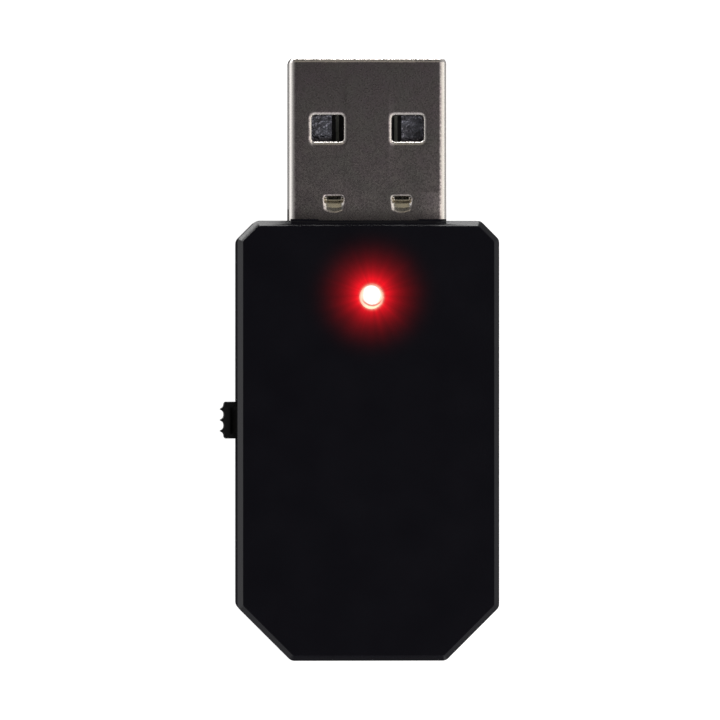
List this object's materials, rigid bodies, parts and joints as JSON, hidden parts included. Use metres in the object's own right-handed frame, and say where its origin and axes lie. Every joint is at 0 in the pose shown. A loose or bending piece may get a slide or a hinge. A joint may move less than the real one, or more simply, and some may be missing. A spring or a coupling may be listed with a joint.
{
  "type": "usb wifi adapter",
  "caption": "Small octagonal USB-A radio adapter: snap-together plastic housing, metal plug, lit indicator and a ribbed slide switch in its side.",
  "frame": {"origin": "centre of the housing's flat back face, which lies on the table", "axes": "+Y along the plug, away from the housing; +Z out of the front face with the indicator; +X away from the switch side"},
  "size_m": [0.0211, 0.0457, 0.008],
  "materials": {
    "housing_plastic": "gloss black moulding",
    "light_guide": "clear moulding, lit",
    "led_carrier": "white epoxy laminate",
    "led_lens": "clear red epoxy, lit",
    "plug_steel": "bright nickel plate with a fine grain",
    "carrier_plastic": "black moulding",
    "contact_plating": "satin nickel plate",
    "board_laminate": "green solder mask",
    "antenna_copper": "copper under solder mask",
    "chip_resin": "black moulding compound",
    "crystal_can": "satin lid",
    "ferrite": "sintered grey",
    "capacitor_ceramic": "tan ceramic, tinned ends",
    "resistor_glaze": "black glaze, tinned ends",
    "switch_steel": "nickel plate",
    "switch_resin": "black moulding",
    "knob_plastic": "satin black moulding",
    "wiper_bronze": "phosphor bronze strip"
  },
  "bodies": {
    "adapter": {"front_cover": "housing_plastic", "rear_cover": "housing_plastic", "light_pipe": "light_guide", "led_base": "led_carrier", "led_lens": "led_lens", "usb_shell": "plug_steel", "usb_insulator": "carrier_plastic", "usb_contact_power": "contact_plating", "usb_contact_data_minus": "contact_plating", "usb_contact_data_plus": "contact_plating", "usb_contact_ground": "contact_plating", "switch_terminal_1": "contact_plating", "switch_terminal_2": "contact_plating", "switch_terminal_3": "contact_plating", "circuit_board": "board_laminate", "antenna_trace": "antenna_copper", "radio_chip": "chip_resin", "memory_chip": "chip_resin", "voltage_regulator": "chip_resin", "crystal": "crystal_can", "power_inductor": "ferrite", "capacitor_1": "capacitor_ceramic", "capacitor_2": "capacitor_ceramic", "capacitor_3": "capacitor_ceramic", "capacitor_4": "capacitor_ceramic", "capacitor_5": "capacitor_ceramic", "resistor_1": "resistor_glaze", "resistor_2": "resistor_glaze", "resistor_3": "resistor_glaze", "switch_frame": "switch_steel", "switch_base": "switch_resin"},
    "slider": {"switch_knob": "knob_plastic", "switch_wiper": "wiper_bronze"}
  },
  "joints": [
    {"name": "switch_slide", "type": "slide", "parent": "adapter", "child": "slider", "axis": [0, 1, 0], "range_m": [-0.002, 0]}
  ]
}
